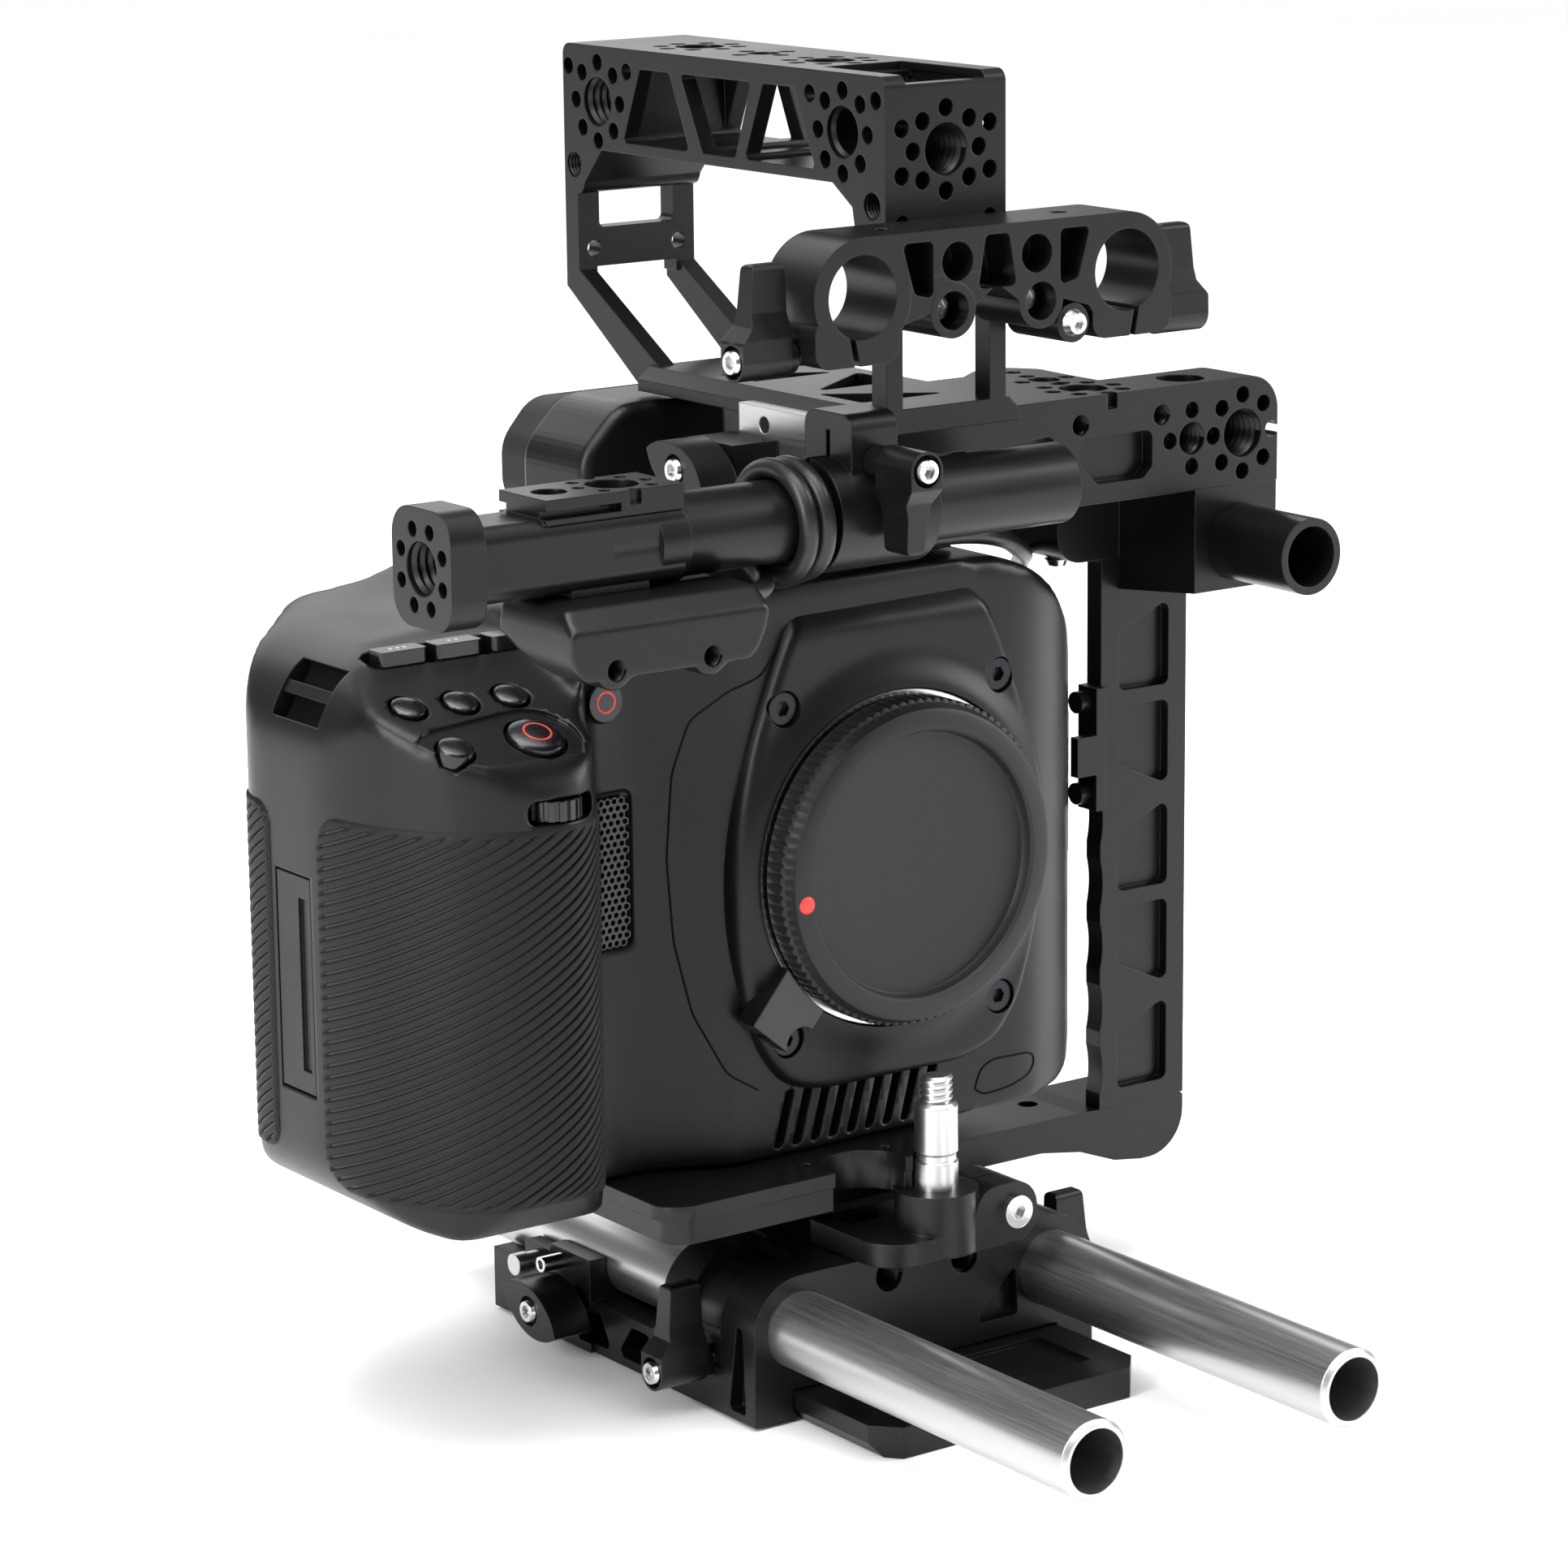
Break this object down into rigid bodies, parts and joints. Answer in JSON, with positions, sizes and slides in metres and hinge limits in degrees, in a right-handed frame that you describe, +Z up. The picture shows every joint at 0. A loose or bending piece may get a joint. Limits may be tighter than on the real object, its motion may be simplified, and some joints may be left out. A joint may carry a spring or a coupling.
{
  "type": "cinema camera rig",
  "caption": "Black box-style cinema camera in a half cage with a top handle, a rod baseplate on a dovetail plate, an upper rod clamp and a side arm with a run/stop box.",
  "frame": {"origin": "tripod thread in the underside of the dovetail plate, straight below the lens axis", "axes": "+X to the side away from the grip, +Y from the lens to the back of the camera, +Z up"},
  "size_m": [0.2084, 0.203, 0.251],
  "materials": {
    "black_anodised": "fine satin",
    "camera_housing": "fine textured",
    "grip_rubber": "ribbed",
    "bright_steel": "turned",
    "bright_screws": "polished",
    "black_screws": "black oxide",
    "mount_steel": "polished",
    "cap_plastic": "moulded",
    "key_plastic": "moulded",
    "lead_sheath": "smooth",
    "screen_glass": "glossy",
    "circuit_board": "solder resist",
    "eyecup_rubber": "soft matte"
  },
  "bodies": {
    "rig": {"base_block": "black_anodised", "camera_plate": "black_anodised", "support_arm": "black_anodised", "clamp_screws": "bright_screws", "socket_screws": "bright_screws", "cage_bottom_bar": "black_anodised", "cage_side_arm": "black_anodised", "side_rod_block": "black_anodised", "side_rod": "black_anodised", "cage_top_plate": "black_anodised", "cable_bracket": "black_anodised", "bracket_thumb_screws": "black_screws", "small_button_screws": "bright_screws", "top_handle": "black_anodised", "steel_rail": "bright_steel", "top_rod_clamp": "black_anodised", "arm_clamp": "black_anodised", "lead_camera_end": "lead_sheath", "lead_plug": "lead_sheath", "camera_front_shell": "camera_housing", "camera_rear_shell": "camera_housing", "lens_plate": "camera_housing", "lens_plate_screws": "black_screws", "mount_ring": "mount_steel", "grip_rubbers": "grip_rubber", "strap_bar": "camera_housing", "rear_screen": "screen_glass", "sensor_board": "circuit_board"},
    "dovetail": {"dovetail_plate": "black_anodised"},
    "left_rod": {"rod_left": "bright_steel"},
    "right_rod": {"rod_right": "bright_steel"},
    "left_base_lever": {"base_lever_left": "black_anodised"},
    "right_base_lever": {"base_lever_right": "black_anodised"},
    "plate_knob": {"rear_knob": "black_anodised"},
    "plate_pin": {"release_pin": "bright_steel"},
    "post": {"lens_post": "bright_steel"},
    "left_top_lever": {"top_lever_left": "black_anodised"},
    "right_top_lever": {"top_lever_right": "black_anodised"},
    "rail_knob": {"rail_knob": "black_anodised"},
    "arm_lever": {"arm_lever": "black_anodised"},
    "control_arm": {"arm_tube": "black_anodised", "arm_end_bracket": "black_anodised", "run_stop_box": "black_anodised", "lead_box_end": "lead_sheath", "lead_coil": "lead_sheath"},
    "cap": {"body_cap": "cap_plastic"},
    "lens_release": {"release_button": "key_plastic"},
    "door": {"media_door": "camera_housing"},
    "key_1": {"function_key_1": "key_plastic"},
    "key_2": {"function_key_2": "key_plastic"},
    "key_3": {"function_key_3": "key_plastic"},
    "balance": {"button_balance": "key_plastic"},
    "shutter": {"button_shutter": "key_plastic"},
    "gain": {"button_gain": "key_plastic"},
    "stills": {"stills_button": "key_plastic"},
    "record": {"record_button": "key_plastic"},
    "front_record": {"front_record_button": "key_plastic"},
    "wheel": {"thumb_wheel": "key_plastic"},
    "viewfinder": {"viewfinder_body": "camera_housing", "viewfinder_eyecup": "eyecup_rubber"}
  },
  "joints": [
    {"name": "plate_slide", "type": "slide", "parent": "rig", "child": "dovetail", "axis": [0, 1, 0], "range_m": [-0.04, 0.04]},
    {"name": "left_rod_slide", "type": "slide", "parent": "rig", "child": "left_rod", "axis": [0, 1, 0], "range_m": [-0.06, 0.04]},
    {"name": "right_rod_slide", "type": "slide", "parent": "rig", "child": "right_rod", "axis": [0, 1, 0], "range_m": [-0.06, 0.04]},
    {"name": "left_base_lever_turn", "type": "hinge", "parent": "rig", "child": "left_base_lever", "pos_m": [-0.049, -0.022, 0.0098], "axis": [1, 0, 0], "range_deg": [-85, 85]},
    {"name": "right_base_lever_turn", "type": "hinge", "parent": "rig", "child": "right_base_lever", "pos_m": [0.049, -0.022, 0.0098], "axis": [1, 0, 0], "range_deg": [-85, 85]},
    {"name": "plate_knob_turn", "type": "hinge", "parent": "rig", "child": "plate_knob", "pos_m": [-0.048, 0.022, 0.0098], "axis": [1, 0, 0], "range_deg": [-70, 8]},
    {"name": "plate_pin_pull", "type": "slide", "parent": "rig", "child": "plate_pin", "axis": [-1, 0, 0], "range_m": [0, 0.003], "stiffness_N_per_m": 400, "springref_m": -0.003},
    {"name": "post_slide", "type": "slide", "parent": "rig", "child": "post", "axis": [0, 0, 1], "range_m": [-0.005, 0.004]},
    {"name": "left_top_lever_turn", "type": "hinge", "parent": "rig", "child": "left_top_lever", "pos_m": [-0.049, -0.0525, 0.2043], "axis": [1, 0, 0], "range_deg": [-85, 85]},
    {"name": "right_top_lever_turn", "type": "hinge", "parent": "rig", "child": "right_top_lever", "pos_m": [0.049, -0.0525, 0.2043], "axis": [1, 0, 0], "range_deg": [-85, 85]},
    {"name": "rail_knob_turn", "type": "hinge", "parent": "rig", "child": "rail_knob", "pos_m": [-0.037, -0.0166, 0.1794], "axis": [1, 0, 0], "range_deg": [-60, 60]},
    {"name": "arm_lever_turn", "type": "hinge", "parent": "rig", "child": "arm_lever", "pos_m": [-0.0252, -0.06, 0.1847], "axis": [0, 1, 0], "range_deg": [-60, 60]},
    {"name": "arm_turn", "type": "hinge", "parent": "rig", "child": "control_arm", "pos_m": [0, -0.05, 0.1749], "axis": [1, 0, 0], "range_deg": [-45, 0]},
    {"name": "cap_turn", "type": "hinge", "parent": "rig", "child": "cap", "pos_m": [0, -0.034, 0.103], "axis": [0, 1, 0], "range_deg": [0, 60]},
    {"name": "lens_release_press", "type": "slide", "parent": "rig", "child": "lens_release", "axis": [0, 1, 0], "range_m": [0, 0.0015], "stiffness_N_per_m": 700, "springref_m": -0.0015},
    {"name": "door_turn", "type": "hinge", "parent": "rig", "child": "door", "pos_m": [-0.1119, 0.0098, 0.09], "axis": [0, 0, -1], "range_deg": [0, 100]},
    {"name": "key_1_press", "type": "slide", "parent": "rig", "child": "key_1", "axis": [0, 0, -1], "range_m": [0, 0.0008], "stiffness_N_per_m": 700, "springref_m": -0.0008},
    {"name": "key_2_press", "type": "slide", "parent": "rig", "child": "key_2", "axis": [0, 0, -1], "range_m": [0, 0.0008], "stiffness_N_per_m": 700, "springref_m": -0.0008},
    {"name": "key_3_press", "type": "slide", "parent": "rig", "child": "key_3", "axis": [0, 0, -1], "range_m": [0, 0.0008], "stiffness_N_per_m": 700, "springref_m": -0.0008},
    {"name": "balance_press", "type": "slide", "parent": "rig", "child": "balance", "axis": [0, 0.4008, -0.9162], "range_m": [0, 0.0008], "stiffness_N_per_m": 700, "springref_m": -0.0008},
    {"name": "shutter_press", "type": "slide", "parent": "rig", "child": "shutter", "axis": [0, 0.4008, -0.9162], "range_m": [0, 0.0008], "stiffness_N_per_m": 700, "springref_m": -0.0008},
    {"name": "gain_press", "type": "slide", "parent": "rig", "child": "gain", "axis": [0, 0.4008, -0.9162], "range_m": [0, 0.0008], "stiffness_N_per_m": 700, "springref_m": -0.0008},
    {"name": "stills_press", "type": "slide", "parent": "rig", "child": "stills", "axis": [0, 0.4008, -0.9162], "range_m": [0, 0.0008], "stiffness_N_per_m": 700, "springref_m": -0.0008},
    {"name": "record_press", "type": "slide", "parent": "rig", "child": "record", "axis": [0, 0.4008, -0.9162], "range_m": [0, 0.0008], "stiffness_N_per_m": 700, "springref_m": -0.0008},
    {"name": "front_record_press", "type": "slide", "parent": "rig", "child": "front_record", "axis": [0, 1, 0], "range_m": [0, 0.0008], "stiffness_N_per_m": 700, "springref_m": -0.0008},
    {"name": "wheel_turn", "type": "hinge", "parent": "rig", "child": "wheel", "pos_m": [-0.082, -0.0364, 0.1263], "axis": [0, 0, 1], "continuous": true},
    {"name": "viewfinder_tilt", "type": "hinge", "parent": "rig", "child": "viewfinder", "pos_m": [0, 0.024, 0.16], "axis": [1, 0, 0], "range_deg": [0, 6]}
  ]
}
